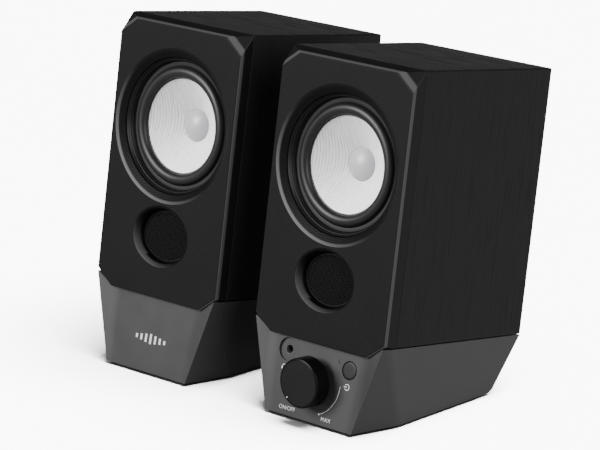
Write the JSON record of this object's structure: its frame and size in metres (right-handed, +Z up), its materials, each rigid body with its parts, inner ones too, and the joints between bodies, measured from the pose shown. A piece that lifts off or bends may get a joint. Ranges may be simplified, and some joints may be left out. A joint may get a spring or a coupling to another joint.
{
  "type": "desktop speaker pair",
  "caption": "Pair of desktop speakers: leaning black wooden boxes with woven covers, white cones and oval ports on grey bases; one base has a volume knob, button and headphone socket.",
  "frame": {"origin": "middle of the footprint of the pair, on the desk top", "axes": "+X to the right speaker as seen from the front, +Y to the back, +Z up; fronts face -Y"},
  "size_m": [0.241, 0.1803, 0.2176],
  "materials": {
    "black_wood": "black grained veneer",
    "black_satin": "satin",
    "woven_cover": "fine woven",
    "grey_plastic": "satin",
    "rubber": "soft",
    "dark_steel": "painted",
    "plated_steel": "plated",
    "ferrite": "sintered",
    "copper": "enamelled wire",
    "white_cone": "woven",
    "spider_cloth": "treated cloth",
    "mesh": "matte",
    "gold": "plated",
    "knob_black": "satin gloss",
    "button_grey": "satin",
    "lens": "clear",
    "board_green": "board",
    "alloy": "extruded"
  },
  "bodies": {
    "speakers": {"left_cabinet": "black_wood", "left_baffle": "black_satin", "left_cover": "woven_cover", "left_base": "grey_plastic", "left_base_plate": "black_satin", "left_front_foot": "rubber", "left_rear_feet": "rubber", "left_driver_frame": "dark_steel", "left_top_plate": "plated_steel", "left_magnet": "ferrite", "left_pole_plate": "plated_steel", "left_surround": "rubber", "left_spider": "spider_cloth", "left_port": "black_satin", "left_port_mesh": "mesh", "left_rear_panel": "black_satin", "left_link_socket": "gold", "left_driver_screws": "dark_steel", "left_panel_screws": "dark_steel", "left_base_screws": "dark_steel", "right_cabinet": "black_wood", "right_baffle": "black_satin", "right_cover": "woven_cover", "right_base": "grey_plastic", "right_base_plate": "black_satin", "right_front_foot": "rubber", "right_rear_feet": "rubber", "right_driver_frame": "dark_steel", "right_top_plate": "plated_steel", "right_magnet": "ferrite", "right_pole_plate": "plated_steel", "right_surround": "rubber", "right_spider": "spider_cloth", "right_port": "black_satin", "right_port_mesh": "mesh", "right_rear_panel": "black_satin", "right_link_socket": "gold", "right_driver_screws": "dark_steel", "right_panel_screws": "dark_steel", "right_base_screws": "dark_steel", "input_sockets": "gold", "power_inlet": "black_satin", "pot_body": "plated_steel", "pot_nut": "plated_steel", "switch_body": "black_satin", "headphone_socket": "black_satin", "lamp_lens": "lens", "control_board": "board_green", "amplifier_board": "board_green", "heat_sink": "alloy"},
    "left_moving_cone": {"left_cone": "white_cone", "left_dust_cap": "white_cone", "left_voice_coil": "copper"},
    "right_moving_cone": {"right_cone": "white_cone", "right_dust_cap": "white_cone", "right_voice_coil": "copper"},
    "volume_control": {"volume_knob": "knob_black", "pot_shaft": "plated_steel"},
    "button": {"push_button": "button_grey"}
  },
  "joints": [
    {"name": "left_cone_stroke", "type": "slide", "parent": "speakers", "child": "left_moving_cone", "axis": [0, 0.9871, -0.1599], "range_m": [-0.002, 0.002], "stiffness_N_per_m": 1500, "deforming": ["left_surround", "left_spider"]},
    {"name": "right_cone_stroke", "type": "slide", "parent": "speakers", "child": "right_moving_cone", "axis": [0, 0.9871, -0.1599], "range_m": [-0.002, 0.002], "stiffness_N_per_m": 1500, "deforming": ["right_surround", "right_spider"]},
    {"name": "volume_turn", "type": "hinge", "parent": "speakers", "child": "volume_control", "pos_m": [0.0685, -0.07614, 0.02763], "axis": [0, 0.9965, -0.0837], "range_deg": [0, 280]},
    {"name": "button_press", "type": "slide", "parent": "speakers", "child": "button", "axis": [0, 0.9965, -0.0837], "range_m": [0, 0.001], "stiffness_N_per_m": 600, "springref_m": -0.001}
  ]
}
